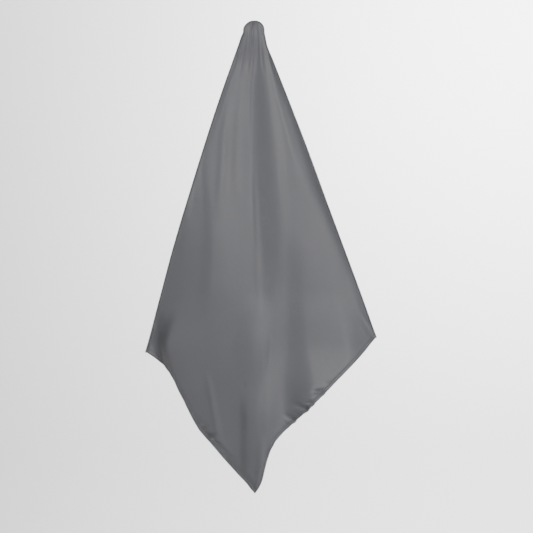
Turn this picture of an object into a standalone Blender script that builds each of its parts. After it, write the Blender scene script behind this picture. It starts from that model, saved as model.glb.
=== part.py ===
"""A square satin bandana hung by one corner over a round wall peg.

Metres, +Z up. The wall is the plane y = 0 and the cloth hangs in front of it, at negative y.
The origin is the centre of the rose's flat back, on the peg's axis.
"""

import math

import bpy
import numpy as np

# The cloth, a hemmed 27 inch square
CLOTH_WALL = 0.0010
HEM_WIDTH = 0.008
HEM_WALL = 0.0010
GAP = 0.0003

# The peg: a flat rose, a neck and a round head, all turned about the Y axis
ROSE_RADIUS = 0.0165
ROSE_DEPTH = 0.006
ROSE_BEVEL = 0.002
NECK_RADIUS = 0.006
HEAD_RADIUS = 0.0182
HEAD_HALF_DEPTH = 0.0125
HEAD_OFF_WALL = 0.054
PEG_STEPS = 28
HEAD_STEPS = 12

# The middle of the cloth's wall where it lies over the head, and below
CAP_RADIUS = HEAD_RADIUS + GAP + CLOTH_WALL / 2
CAP_HALF_DEPTH = 0.0140
NECK_REST = NECK_RADIUS + GAP + CLOTH_WALL / 2
CAP_LEFT_FLARE = 0.12
CAP_SPREAD = 0.012
CAP_HOLD = 0.010
CAP_SETTLE = 0.045
CORNER_OFF_WALL = 0.0130
CORNER_DROOP = 0.30

# Grid of the cloth
FRONT_COLUMNS = 42
FOLD_COLUMNS = 6
FLAP_COLUMNS = 8
TIP_COLUMNS = 8
ROWS = 24
ROW_CROWDING = 1.15
UPPER_HEM_START = 5
CAP_RINGS = 7
TIP_ROWS = 5

# Side folds of the hanging cloth at each height: how far out they reach, how far off the wall the
# front runs into them, their radius, and how many degrees the cloth has turned there already
SIDES = (
    # height, left: x, off_wall, radius, turn, right: x, off_wall, radius, turn
    (-0.900, -0.2990, 0.0110, 0.0032, 5, 0.3470, 0.0400, 0.0040, 5),
    (-0.617, -0.2140, 0.0110, 0.0032, 5, 0.2460, 0.0400, 0.0040, 5),
    (-0.522, -0.1870, 0.0310, 0.0036, 12, 0.2125, 0.0405, 0.0060, 15),
    (-0.425, -0.1602, 0.0445, 0.0036, 10, 0.1770, 0.0390, 0.0080, 32),
    (-0.328, -0.1305, 0.0575, 0.0034, 3, 0.1412, 0.0370, 0.0115, 44),
    (-0.231, -0.1005, 0.0575, 0.0032, 2, 0.1055, 0.0415, 0.0125, 46),
    (-0.134, -0.0690, 0.0575, 0.0032, 3, 0.0676, 0.0490, 0.0100, 40),
    (-0.056, -0.0414, 0.0590, 0.0032, 3, 0.0362, 0.0545, 0.0060, 22),
    (-0.027, -0.0308, 0.0590, 0.0032, 0, 0.0242, 0.0570, 0.0045, 8),
    (0.000, -0.0212, 0.0590, 0.0034, 0, 0.0190, 0.0590, 0.0040, 0),
)

# Lengthwise folds of the front, which run down from the peg: where each crest or hollow lies and
# how far it stands off the wall, at the heights in FOLD_HEIGHTS
FOLD_HEIGHTS = (-0.056, -0.153, -0.270, -0.386, -0.502, -0.556, -0.610, -0.677, -0.745, -0.803)
FRONT_FOLDS = (
    # name, x at each height, off_wall at each height
    (
        "left_corner",
        (-0.0365, -0.0710, -0.1070, -0.1280, -0.1450, -0.1790, -0.1900, -0.1700, -0.1400, -0.1200),
        (0.0590, 0.0578, 0.0576, 0.0535, 0.0405, 0.0290, 0.0130, 0.0290, 0.0340, 0.0370),
    ),
    (
        "left_flank",
        (-0.0355, -0.0689, -0.1030, -0.0999, -0.1050, -0.1600, -0.1660, -0.1400, -0.1180, -0.1000),
        (0.0591, 0.0580, 0.0572, 0.0552, 0.0500, 0.0355, 0.0350, 0.0375, 0.0385, 0.0395),
    ),
    (
        "left_shoulder",
        (-0.0310, -0.0631, -0.0900, -0.0790, -0.0728, -0.0757, -0.0786, -0.0902, -0.0863, -0.0805),
        (0.0600, 0.0588, 0.0580, 0.0590, 0.0590, 0.0560, 0.0515, 0.0475, 0.0455, 0.0445),
    ),
    (
        "left_slope",
        (-0.0146, -0.0165, -0.0280, -0.0280, -0.0262, -0.0350, -0.0436, -0.0400, -0.0360, -0.0350),
        (0.0605, 0.0550, 0.0525, 0.0525, 0.0525, 0.0530, 0.0540, 0.0565, 0.0558, 0.0552),
    ),
    (
        "middle_ridge",
        (-0.0078, -0.0078, -0.0082, -0.0045, 0.0010, 0.0005, 0.0000, -0.0020, -0.0120, -0.0120),
        (0.0602, 0.0545, 0.0518, 0.0512, 0.0515, 0.0560, 0.0605, 0.0630, 0.0662, 0.0658),
    ),
    (
        "upper_groove",
        (0.0000, -0.0029, -0.0019, 0.0049, 0.0184, 0.0175, 0.0165, 0.0165, 0.0090, 0.0090),
        (0.0585, 0.0525, 0.0505, 0.0500, 0.0508, 0.0548, 0.0590, 0.0645, 0.0700, 0.0700),
    ),
    (
        "upper_crest",
        (0.0184, 0.0320, 0.0437, 0.0514, 0.0398, 0.0369, 0.0340, 0.0320, 0.0280, 0.0260),
        (0.0612, 0.0598, 0.0586, 0.0560, 0.0510, 0.0527, 0.0545, 0.0620, 0.0695, 0.0700),
    ),
    (
        "lower_hollow",
        (0.0223, 0.0437, 0.0650, 0.0689, 0.0631, 0.0625, 0.0620, 0.0660, 0.0670, 0.0440),
        (0.0607, 0.0580, 0.0554, 0.0540, 0.0500, 0.0507, 0.0515, 0.0540, 0.0600, 0.0688),
    ),
    (
        "right_crest",
        (0.0250, 0.0495, 0.0766, 0.0863, 0.0999, 0.1018, 0.1045, 0.1130, 0.1040, 0.0592),
        (0.0600, 0.0572, 0.0550, 0.0530, 0.0540, 0.0560, 0.0580, 0.0685, 0.0770, 0.0670),
    ),
    (
        "right_slope",
        (0.0280, 0.0553, 0.0883, 0.1193, 0.1465, 0.1590, 0.1717, 0.1756, 0.1560, 0.1200),
        (0.0590, 0.0556, 0.0532, 0.0500, 0.0500, 0.0520, 0.0550, 0.0640, 0.0720, 0.0680),
    ),
)

# Lower edge of the front, from the left point by the bottom corner to the right point
LOWER_EDGE = (
    # across the front, height
    (0.000, -0.627),
    (0.035, -0.637),
    (0.078, -0.650),
    (0.118, -0.665),
    (0.145, -0.681),
    (0.169, -0.700),
    (0.197, -0.720),
    (0.243, -0.759),
    (0.267, -0.778),
    (0.298, -0.797),
    (0.332, -0.816),
    (0.365, -0.835),
    (0.399, -0.855),
    (0.430, -0.874),
    (0.464, -0.8945),
    (0.475, -0.887),
    (0.487, -0.872),
    (0.495, -0.852),
    (0.504, -0.833),
    (0.516, -0.814),
    (0.536, -0.794),
    (0.568, -0.775),
    (0.608, -0.755),
    (0.651, -0.7355),
    (0.696, -0.716),
    (0.742, -0.697),
    (0.787, -0.678),
    (0.836, -0.659),
    (0.887, -0.640),
    (0.938, -0.621),
    (1.000, -0.601),
)

# Flaps behind the front: where the free corner hangs, and the waves between fold and free edge
FLAPS = {
    # side: corner_x, corner_height, corner_off_wall, wave_depth, waves
    -1: (0.060, -0.612, 0.0360, 0.0060, 1.5),
    1: (-0.030, -0.618, 0.0150, 0.0070, 1.5),
}

# The most of a flap's width that its hem takes up, close to the peg
WIDEST_HEM_SHARE = 0.3

# Where the columns of cloth leave the cap, as turns about the vertical from straight in front
FRONT_TURN = math.radians(78)
FOLD_TURN = math.radians(100)
FLAP_TURN = math.radians(135)

# Colour, roughness and metallic value of each finish
FINISHES = {
    "satin": ((0.190, 0.193, 0.206, 1.0), 0.45, 0.0),
    "hem": ((0.180, 0.183, 0.196, 1.0), 0.50, 0.0),
    "aluminium": ((0.780, 0.780, 0.770, 1.0), 0.30, 1.0),
}


def clear_scene():
    for obj in list(bpy.data.objects):
        bpy.data.objects.remove(obj, do_unlink=True)
    collection = bpy.data.collections.new("hung_bandana")
    bpy.context.scene.collection.children.link(collection)
    return collection


def make_material(name, finish):
    colour, roughness, metallic = FINISHES[finish]
    material = bpy.data.materials.new(name)
    material.use_nodes = True
    shader = material.node_tree.nodes["Principled BSDF"]
    shader.inputs["Base Color"].default_value = colour
    shader.inputs["Roughness"].default_value = roughness
    shader.inputs["Metallic"].default_value = metallic
    material.diffuse_color = colour
    return material


def add_mesh(collection, name, points, faces, finish):
    mesh = bpy.data.meshes.new(name)
    mesh.from_pydata([tuple(map(float, point)) for point in points], [], faces)
    mesh.materials.append(make_material(name, finish))
    mesh.shade_smooth()
    obj = bpy.data.objects.new(name, mesh)
    collection.objects.link(obj)
    return obj


def smooth_through(known, values, wanted, end_slopes=None):
    """Values at wanted places on a smooth curve that never overshoots its known points."""
    known, values = np.asarray(known, float), np.asarray(values, float)
    step = np.diff(known)
    slope = np.diff(values) / step
    tangent = np.zeros_like(values)
    same_way = slope[:-1] * slope[1:] > 0
    weight_a, weight_b = 2 * step[1:] + step[:-1], step[1:] + 2 * step[:-1]
    mean = np.zeros_like(slope[1:])
    mean[same_way] = (weight_a + weight_b)[same_way] / (
        weight_a[same_way] / slope[:-1][same_way] + weight_b[same_way] / slope[1:][same_way]
    )
    tangent[1:-1] = mean
    tangent[0], tangent[-1] = end_slopes or (slope[0], slope[-1])
    wanted = np.clip(wanted, known[0], known[-1])
    i = np.clip(np.searchsorted(known, wanted) - 1, 0, len(step) - 1)
    t = (wanted - known[i]) / step[i]
    return (
        (1 + 2 * t) * (1 - t) ** 2 * values[i]
        + t * (1 - t) ** 2 * step[i] * tangent[i]
        + t * t * (3 - 2 * t) * values[i + 1]
        + t * t * (t - 1) * step[i] * tangent[i + 1]
    )


def ease(t):
    t = np.clip(t, 0, 1)
    return t * t * (3 - 2 * t)


def side_at(side, height):
    """A side fold at a height: how far out it reaches, how far off the wall the front runs into
    it, its radius, and how far the cloth has turned there."""
    table = np.array(SIDES)
    first = 1 if side < 0 else 5
    x, off_wall, radius, turn = (
        float(smooth_through(table[:, 0], table[:, first + k], height)) for k in range(4)
    )
    return x, off_wall, radius, math.radians(turn)


def front_ends(height):
    """x of the front's left and right end, where it runs into the side folds."""
    ends = []
    for side in (-1, 1):
        x, _, radius, turn = side_at(side, height)
        ends.append(x - side * radius * (1 - math.sin(turn)))
    return ends


def front_off_wall(across, height):
    """How far the front stands off the wall, on a smooth curve through the lengthwise folds."""
    start, end = front_ends(height)
    _, left_off, _, left_turn = side_at(-1, height)
    _, right_off, _, right_turn = side_at(1, height)
    width = end - start
    down = np.negative(FOLD_HEIGHTS)
    places, offs = [0.0], [left_off]
    for _, x, off_wall in FRONT_FOLDS:
        places.append((float(smooth_through(down, x, -height)) - start) / width)
        offs.append(float(smooth_through(down, off_wall, -height)))
    end_slopes = (width * math.tan(left_turn), -width * math.tan(right_turn))
    return float(smooth_through(places + [1.0], offs + [right_off], across, end_slopes))


def cap_point(turn, lift):
    """A point of the cap over the peg's head. turn is about the vertical from the front, and
    lift runs from 0 on the cap's rim to 1 on its top. At the back the rim clears the neck."""
    rim = NECK_REST * float(ease((abs(turn) - FOLD_TURN) / (FLAP_TURN - FOLD_TURN)))
    angle = lift * math.pi / 2
    flare = 1 + CAP_LEFT_FLARE * (turn < 0) * math.cos(angle) ** 4
    return np.array(
        (
            CAP_RADIUS * flare * math.sin(turn) * math.cos(angle),
            -HEAD_OFF_WALL - CAP_HALF_DEPTH * math.cos(turn) * math.cos(angle),
            rim + (CAP_RADIUS - rim) * math.sin(angle),
        )
    )


def hanging_point(column, height):
    """A point of the cloth at a height. column is (zone, side, share), where share runs across
    the front, round a side fold, or over a flap from its fold to the line where its hem begins,
    and the zone "edge" is the flap's free edge."""
    zone, side, share = column
    if zone == "front":
        start, end = front_ends(height)
        return np.array(((1 - share) * start + share * end, -front_off_wall(share, height), height))
    edge_x, edge_off, radius, turned = side_at(side, height)
    fold_off = edge_off - radius * math.cos(turned)
    if zone == "fold":
        turn = turned + share * (math.pi - turned)
        x = edge_x - side * radius * (1 - math.sin(turn))
        return np.array((x, -fold_off - radius * math.cos(turn), height))
    corner_x, corner_height, corner_off, wave_depth, waves = FLAPS[side]
    down = height / corner_height
    free_x = side * CAP_RADIUS * math.sin(FLAP_TURN) * (1 - down) + corner_x * down
    free_off = (HEAD_OFF_WALL + CAP_HALF_DEPTH * math.cos(FLAP_TURN)) * (1 - down) + corner_off * down
    start_x, start_off = edge_x - side * radius, fold_off - radius
    if zone == "flap":
        share *= 1 - min(HEM_WIDTH / abs(free_x - start_x), WIDEST_HEM_SHARE)
    wave = wave_depth * down * math.sin(waves * 2 * math.pi * share)
    x = start_x + share * (free_x - start_x)
    return np.array((x, -(start_off + share * (free_off - start_off)) + wave, height))


def lowest(column):
    """The height at which a column of the cloth ends in the lower edge."""
    zone, side, share = column
    edge = np.array(LOWER_EDGE)
    if zone == "front":
        return float(np.interp(share, edge[:, 0], edge[:, 1]))
    point = edge[0, 1] if side < 0 else edge[-1, 1]
    if zone == "fold":
        return float(point)
    corner_height = FLAPS[side][1]
    return float(point + share * (corner_height - point))


def turn_of(column):
    """Where a column leaves the cap's rim."""
    zone, side, share = column
    if zone == "front":
        return FRONT_TURN * (2 * share - 1)
    if zone == "fold":
        return side * (FRONT_TURN + share * (FOLD_TURN - FRONT_TURN))
    if zone == "flap":
        share *= 1 - WIDEST_HEM_SHARE
    return side * (FOLD_TURN + share * (FLAP_TURN - FOLD_TURN))


def cloth_point(column, down):
    """A point of the cloth below the cap: down runs from 0 on the cap's rim to 1 at the edge."""
    rim = cap_point(turn_of(column), 0)
    height = rim[2] + down * (lowest(column) - rim[2])
    hanging = hanging_point(column, min(height, 0.0))
    hanging[2] = height
    fallen = rim[2] - height
    spread = ease(fallen / CAP_SPREAD)
    settled = ease((fallen - CAP_HOLD) / CAP_SETTLE)
    return rim + (hanging - rim) * np.array((spread, settled, 1.0))


def bottom_share():
    """Place of the bottom corner across the front."""
    return min(LOWER_EDGE, key=lambda row: row[1])[0]


def front_shares():
    """Places of the front's columns, half by width and half by length along the lower edge,
    with one column on the bottom corner."""
    shares = []
    for start, end in ((0.0, bottom_share()), (bottom_share(), 1.0)):
        fine = np.linspace(start, end, 200)
        edge = np.array([cloth_point(("front", 0, share), 1.0) for share in fine])
        along = np.concatenate([[0], np.cumsum(np.linalg.norm(np.diff(edge, axis=0), axis=1))])
        steps = FRONT_COLUMNS // 2
        by_length = np.interp(np.linspace(0, along[-1], steps + 1), along, fine)
        by_width = np.linspace(start, end, steps + 1)
        shares += list((by_length + by_width) / 2)[:steps]
    return shares + [1.0]


def cloth_columns():
    """Every column below the cap, from the left free edge round the front to the right one."""
    outwards = [("fold", k / FOLD_COLUMNS) for k in range(1, FOLD_COLUMNS + 1)]
    outwards += [("flap", k / FLAP_COLUMNS) for k in range(1, FLAP_COLUMNS + 1)]
    outwards.append(("edge", 1.0))
    left = [(zone, -1, share) for zone, share in reversed(outwards)]
    front = [("front", 0, float(share)) for share in front_shares()]
    right = [(zone, 1, share) for zone, share in outwards]
    return left + front + right


def unit(vector):
    return vector / max(np.linalg.norm(vector), 1e-9)


def hem_share(columns, i):
    """How far down a column the hem begins, so that it is one hem's width from the edge."""
    edge = cloth_point(columns[i], 1.0)
    along = unit(edge - cloth_point(columns[i], 0.98))
    across = unit(
        cloth_point(columns[min(i + 1, len(columns) - 1)], 1.0) - cloth_point(columns[max(i - 1, 0)], 1.0)
    )
    sine = max(np.linalg.norm(np.cross(along, across)), 0.45)
    return 1 - HEM_WIDTH / sine / np.linalg.norm(edge - cloth_point(columns[i], 0.0))


def cloth_grid():
    """Points of the cloth below the cap, row by row from the cap's rim. The last row is the
    lower edge and the one before it is where its hem begins."""
    columns = cloth_columns()
    hems = [hem_share(columns, i) for i in range(len(columns))]
    rows = [
        [cloth_point(column, hem * (k / ROWS) ** ROW_CROWDING) for column, hem in zip(columns, hems)]
        for k in range(ROWS + 1)
    ]
    rows.append([cloth_point(column, 1.0) for column in columns])
    return columns, np.array(rows)


def reverse_side(grid, off):
    """The grid's points moved out on the cloth's reverse."""
    across = np.gradient(grid, axis=1)
    along = np.gradient(grid, axis=0)
    normal = np.cross(across, along)
    return grid + off * normal / np.linalg.norm(normal, axis=2, keepdims=True)


def grid_faces(rows):
    """Triangles between neighbouring rows of point numbers, given top row first and left to
    right as seen from outside."""
    faces = []
    for upper, lower in zip(rows, rows[1:]):
        for i in range(len(upper) - 1):
            faces.append((upper[i], lower[i + 1], upper[i + 1]))
            faces.append((upper[i], lower[i], lower[i + 1]))
    return faces


def thicken(obj, wall):
    """Gives an open surface its wall, half to each side."""
    solid = obj.modifiers.new("wall", "SOLIDIFY")
    solid.thickness = wall
    solid.offset = 0.0


def corner_point(turn, out):
    """A point of the corner that reaches over the head and rests on the neck: out runs from 0
    on the cap's rim to 1 at the cloth's corner."""
    start = cap_point(turn, 0)
    corner = np.array((0.0, -CORNER_OFF_WALL, NECK_REST))
    point = start + out * (corner - start)
    point[2] -= CORNER_DROOP * abs(point[0]) * math.sin(math.pi * out)
    return point


def make_cloth(collection, columns, grid):
    """The whole square in one wall: cap, front, side folds, flaps and the corner behind."""
    points = []

    def add(point):
        points.append(point)
        return len(points) - 1

    turns = [turn_of(column) for column in columns]
    behind = [float(turn) for turn in np.linspace(FLAP_TURN, 2 * math.pi - FLAP_TURN, TIP_COLUMNS + 1)]
    behind = [math.remainder(turn, 2 * math.pi) for turn in behind]
    top = add(cap_point(0.0, 1.0))
    rings = []
    for lift in np.linspace(1, 0, CAP_RINGS + 1)[1:]:
        ring = [add(cap_point(turn, lift)) for turn in turns + behind[1:-1]]
        rings.append(ring + ring[:1])
    faces = [(top, rings[0][i], rings[0][i + 1]) for i in range(len(rings[0]) - 1)]
    faces += grid_faces(rings)

    rim = rings[-1]
    hanging = [rim[: len(columns)]] + [[add(point) for point in row] for row in grid[1:]]
    faces += grid_faces(hanging)

    corner_rows = [rim[len(columns) - 1 :]]
    for out in np.linspace(0, 1, TIP_ROWS + 1)[1:-1]:
        corner_rows.append([add(corner_point(turn, out)) for turn in behind])
    faces += grid_faces(corner_rows)
    corner = add(corner_point(math.pi, 1.0))
    faces += [(a, corner, b) for a, b in zip(corner_rows[-1], corner_rows[-1][1:])]

    thicken(add_mesh(collection, "cloth", points, faces, "satin"), CLOTH_WALL)


def make_hem(collection, name, strip):
    """A hem turned to the reverse: a strip of the cloth's own points, already moved out. Its two
    ends are drawn in by the gap that it keeps from the next hem."""
    strip = np.array(strip)
    for end, inner in ((0, 1), (-1, -2)):
        strip[end] += 2 * GAP * np.array([unit(step) for step in strip[inner] - strip[end]])
    numbers = np.arange(strip.shape[0] * strip.shape[1]).reshape(strip.shape[:2])
    points = strip.reshape(-1, 3)
    faces = grid_faces([list(row) for row in numbers.T])
    thicken(add_mesh(collection, name, points, faces, "hem"), HEM_WALL)


def make_hems(collection, columns, grid):
    """Four hems: two along the lower edge and two up the free edges of the flaps."""
    moved = reverse_side(grid, CLOTH_WALL / 2 + GAP + HEM_WALL / 2)
    middle = columns.index(("front", 0, bottom_share()))
    lower = moved[-2:].transpose(1, 0, 2)
    make_hem(collection, "hem_lower_left", lower[: middle + 1])
    make_hem(collection, "hem_lower_right", lower[middle:])
    make_hem(collection, "hem_upper_left", moved[UPPER_HEM_START:-1, :2])
    make_hem(collection, "hem_upper_right", moved[UPPER_HEM_START:-1, :-3:-1])


def make_turned(collection, name, profile):
    """An aluminium piece turned about the Y axis from (distance from the wall, radius) pairs, which
    run down its outer side from the end that faces the room."""
    mesh = bpy.data.meshes.new(name)
    points = [(radius, 0.0, off) for off, radius in profile]
    mesh.from_pydata(points, [(i, i + 1) for i in range(len(points) - 1)], [])
    mesh.materials.append(make_material(name, "aluminium"))
    obj = bpy.data.objects.new(name, mesh)
    collection.objects.link(obj)
    screw = obj.modifiers.new("turn", "SCREW")
    screw.axis = "Z"
    screw.steps = screw.render_steps = PEG_STEPS
    screw.use_merge_vertices = True
    screw.merge_threshold = 0.00001
    obj.rotation_euler = (math.pi / 2, 0, 0)


def make_peg(collection):
    """The rose that is screwed to the wall, and the neck and head in one piece."""
    rose = (
        (ROSE_DEPTH, 0.0),
        (ROSE_DEPTH, ROSE_RADIUS - ROSE_BEVEL),
        (ROSE_DEPTH - ROSE_BEVEL, ROSE_RADIUS),
        (0.0, ROSE_RADIUS),
        (0.0, 0.0),
    )
    make_turned(collection, "peg_rose", rose)
    join = math.asin(NECK_RADIUS / HEAD_RADIUS)
    head = [
        (HEAD_OFF_WALL + HEAD_HALF_DEPTH * math.cos(turn), HEAD_RADIUS * math.sin(turn))
        for turn in np.linspace(0, math.pi - join, HEAD_STEPS + 1)
    ]
    neck = [(ROSE_DEPTH + GAP, NECK_RADIUS), (ROSE_DEPTH + GAP, 0.0)]
    make_turned(collection, "peg", head + neck)


def main():
    collection = clear_scene()
    make_peg(collection)
    columns, grid = cloth_grid()
    make_cloth(collection, columns, grid)
    make_hems(collection, columns, grid)


main()
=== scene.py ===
"""The looks of a square satin bandana hung by one corner over a round wall peg.

Metres, +Z up. The wall is the plane y = 0, the cloth hangs in front of it at negative y, and the
origin is the centre of the rose's flat back. The script runs from top to bottom in the order in
which the real thing is put together.
"""

import math

import bpy
import numpy as np
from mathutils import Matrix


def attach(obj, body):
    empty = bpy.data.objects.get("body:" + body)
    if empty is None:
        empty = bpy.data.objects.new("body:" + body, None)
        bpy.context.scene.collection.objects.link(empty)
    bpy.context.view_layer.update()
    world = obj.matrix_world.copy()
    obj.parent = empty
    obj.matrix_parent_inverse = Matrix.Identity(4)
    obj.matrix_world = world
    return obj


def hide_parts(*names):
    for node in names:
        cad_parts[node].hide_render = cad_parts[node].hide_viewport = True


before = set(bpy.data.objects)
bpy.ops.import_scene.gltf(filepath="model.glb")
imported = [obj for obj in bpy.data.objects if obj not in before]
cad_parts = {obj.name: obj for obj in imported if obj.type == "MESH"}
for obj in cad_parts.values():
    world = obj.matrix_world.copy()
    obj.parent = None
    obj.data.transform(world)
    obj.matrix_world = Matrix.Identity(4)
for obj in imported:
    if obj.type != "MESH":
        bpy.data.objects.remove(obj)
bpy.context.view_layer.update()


# The wall peg: a rose and a neck with a round head, turned from aluminium bar on a lathe and
# brushed. The rose is screwed to the wall and the neck into the rose. Most of it is under cloth.


class Value:
    """One output of a shader node. Python's operators on it add Math nodes."""

    def __init__(self, finish, socket):
        self.finish = finish
        self.socket = socket

    def maths(self, operation, *values):
        return self.finish.node("Math", {"operation": operation}, dict(enumerate(values)))

    def __add__(self, other):
        return self.maths("ADD", self, other)

    def __radd__(self, other):
        return self.maths("ADD", other, self)

    def __sub__(self, other):
        return self.maths("SUBTRACT", self, other)

    def __rsub__(self, other):
        return self.maths("SUBTRACT", other, self)

    def __mul__(self, other):
        return self.maths("MULTIPLY", self, other)

    def __rmul__(self, other):
        return self.maths("MULTIPLY", other, self)

    def __truediv__(self, other):
        return self.maths("DIVIDE", self, other)

    def sine(self):
        return self.maths("SINE", self)

    def size(self):
        return self.maths("ABSOLUTE", self)

    def floor(self):
        return self.maths("FLOOR", self)

    def fraction(self):
        return self.maths("FRACT", self)

    def below(self, limit):
        return self.maths("LESS_THAN", self, limit)

    def larger(self, other):
        return self.maths("MAXIMUM", self, other)


class Finish:
    """A material in the making."""

    def __init__(self, name):
        self.material = bpy.data.materials.new(name)
        self.material.use_nodes = True
        self.shader = self.material.node_tree.nodes["Principled BSDF"]

    def node(self, kind, settings=None, values=None, output=0):
        """Adds a node: first its settings, then the values or links of its sockets, which go by
        name or by number. output is the number of the socket that is read."""
        tree = self.material.node_tree
        made = tree.nodes.new("ShaderNode" + kind)
        for name, setting in (settings or {}).items():
            setattr(made, name, setting)
        for name, value in (values or {}).items():
            self.put(made.inputs[name], value)
        return Value(self, made.outputs[output])

    def put(self, socket, value):
        if isinstance(value, Value):
            self.material.node_tree.links.new(value.socket, socket)
        else:
            socket.default_value = value

    def set(self, **values):
        """Sets or links the shader's sockets: base_color stands for Base Color."""
        for name, value in values.items():
            title = name.replace("_", " ").title().replace("Ior", "IOR")
            self.put(self.shader.inputs[title], value)

    def mix(self, factor, first, second):
        """Mixes two colours. A Mix node's colours go in at sockets 6 and 7 and come out at 2."""
        return self.node("Mix", {"data_type": "RGBA"}, {0: factor, 6: first, 7: second}, output=2)

    def object_place(self):
        """The place on the object, in metres."""
        return self.node("TexCoord", output=3)

    def noise(self, place, scale, detail=2.0, roughness=0.5):
        values = {"Vector": place, "Scale": scale, "Detail": detail, "Roughness": roughness}
        return self.node("TexNoise", {}, values)

    def bump(self, height, distance, strength=1.0, normal=None):
        values = {"Height": height, "Distance": distance, "Strength": strength}
        if normal is not None:
            values["Normal"] = normal
        return self.node("Bump", {}, values)


LATHE_GRAIN = (8.0, 1800.0, 8.0)


def brushed_aluminium():
    """Turned aluminium: rings round the axis from the lathe tool, a little worn to a shine."""
    finish = Finish("brushed_aluminium")
    place = finish.object_place()
    along_axis = finish.node("Mapping", {}, {"Vector": place, "Scale": LATHE_GRAIN})
    rings = finish.noise(along_axis, scale=1.0, detail=4.0, roughness=0.7)
    smears = finish.noise(place, scale=90.0, detail=3.0)
    light = (0.80, 0.80, 0.79, 1.0)
    dark = (0.66, 0.66, 0.65, 1.0)
    finish.set(
        base_color=finish.mix(smears * 0.6 + rings * 0.4, dark, light),
        roughness=0.24 + smears * 0.14 + rings * 0.06,
        metallic=1.0,
        normal=finish.bump(rings, distance=0.00006),
    )
    return finish.material


aluminium = brushed_aluminium()
for name in ("peg_rose", "peg"):
    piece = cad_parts[name]
    for slot in piece.material_slots:
        slot.material = aluminium


# The cloth: one square of dark grey polyester satin, 27 inches a side, hemmed on all four sides.
# It hangs by one corner, which is laid over the peg's head. The sides fold round to the back and
# their free corners hang there, so it falls in long soft folds from the peg to its lower edge.

CLOTH_SIDE = 0.686
CLOTH_WALL = 0.0008
HEM_WIDTH = 0.008

# The peg under the cloth, and the cap that the cloth makes over its head
HEAD_RADIUS = 0.0182
NECK_RADIUS = 0.006
HEAD_OFF_WALL = 0.054
CAP_CLEARANCE = 0.0012
CAP_RADIUS = HEAD_RADIUS + CAP_CLEARANCE
CAP_HALF_DEPTH = 0.0140
NECK_REST = NECK_RADIUS + CLOTH_WALL
# How much wider the cap is on the left, how flat its front is across and down, as powers of a
# cosine, and how far its left side is turned to the right, as a slope
CAP_LEFT_FLARE = 0.12
CAP_FLATNESS = 0.14
CAP_ROUNDNESS = 0.45
CAP_LEFT_LIFT = 0.11
# Below the cap's rim: the drop in which the cloth spreads sideways, the drop in which it keeps
# the cap's depth, and the drop after that in which it falls into the lengthwise folds
CAP_SPREAD = 0.012
CAP_HOLD = 0.004
CAP_SETTLE = 0.060
# Where the corner of the cloth rests on the neck, and how far it sags on the way there
CORNER_OFF_WALL = 0.0130
CORNER_DROOP = 0.30

# Side folds of the hanging cloth at each height: how far out they reach, how far off the wall the
# front runs into them, their radius, and how many degrees the cloth has turned there already
SIDES = np.array(
    [
        # height, left: x, off_wall, radius, turn, right: x, off_wall, radius, turn
        (-0.900, -0.2990, 0.0100, 0.0032, 5, 0.3470, 0.0400, 0.0040, 5),
        (-0.617, -0.2140, 0.0100, 0.0032, 5, 0.2460, 0.0400, 0.0040, 5),
        (-0.522, -0.1870, 0.0310, 0.0036, 12, 0.2125, 0.0405, 0.0060, 15),
        (-0.425, -0.1602, 0.0445, 0.0036, 10, 0.1770, 0.0390, 0.0080, 32),
        (-0.328, -0.1305, 0.0575, 0.0034, 3, 0.1412, 0.0370, 0.0115, 44),
        (-0.231, -0.1005, 0.0575, 0.0032, 2, 0.1055, 0.0415, 0.0125, 46),
        (-0.134, -0.0690, 0.0575, 0.0032, 3, 0.0676, 0.0490, 0.0100, 40),
        (-0.056, -0.0414, 0.0590, 0.0032, 3, 0.0362, 0.0545, 0.0060, 22),
        (-0.027, -0.0308, 0.0590, 0.0032, 0, 0.0242, 0.0570, 0.0045, 8),
        (0.000, -0.0212, 0.0590, 0.0034, 0, 0.0190, 0.0590, 0.0040, 0),
    ]
)

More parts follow.
